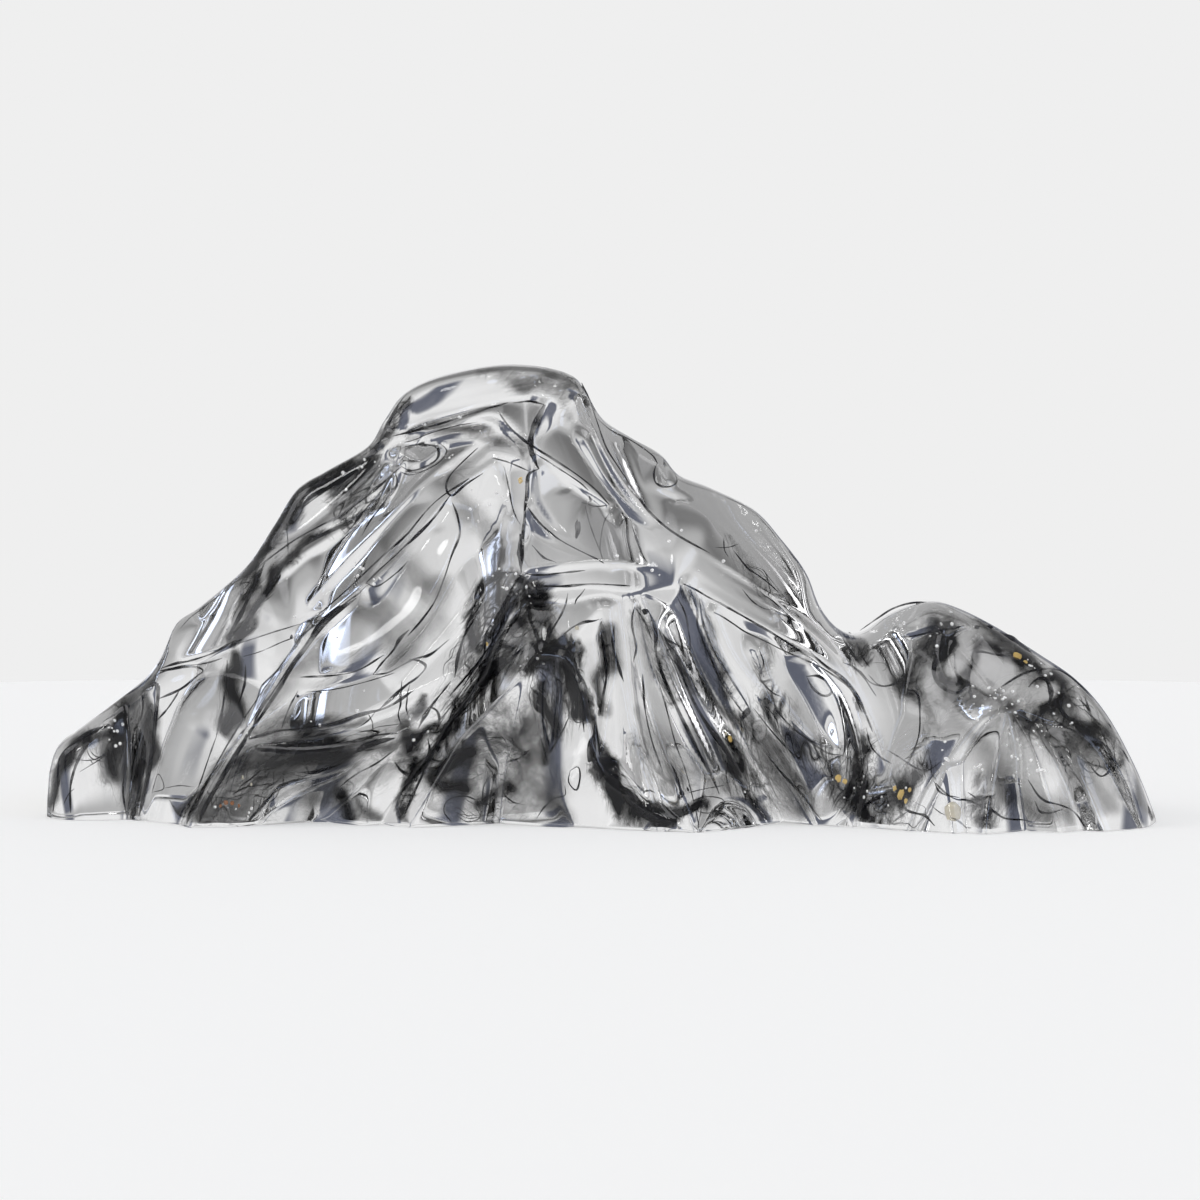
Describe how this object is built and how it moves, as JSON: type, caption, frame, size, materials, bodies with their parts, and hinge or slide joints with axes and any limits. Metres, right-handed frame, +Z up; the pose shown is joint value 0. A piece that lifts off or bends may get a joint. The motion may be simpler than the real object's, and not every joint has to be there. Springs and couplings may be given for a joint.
{
  "type": "resin mountain sculpture",
  "caption": "Desk ornament in the shape of a mountain range, cast as one clear resin block with black ink veils inside; stands on a flat underside.",
  "frame": {"origin": "on the flat underside, in the middle of the bounding box", "axes": "+X along the range to the viewer's right, +Y from the folded front to the plainer back, +Z up"},
  "size_m": [0.603, 0.1882, 0.246],
  "materials": {
    "clear_resin": "clear cast resin, polished to a wet gloss",
    "ink": "black ink sealed in the resin, in veils and threads"
  },
  "bodies": {
    "root": {"resin_mountain": "clear_resin"}
  },
  "joints": []
}
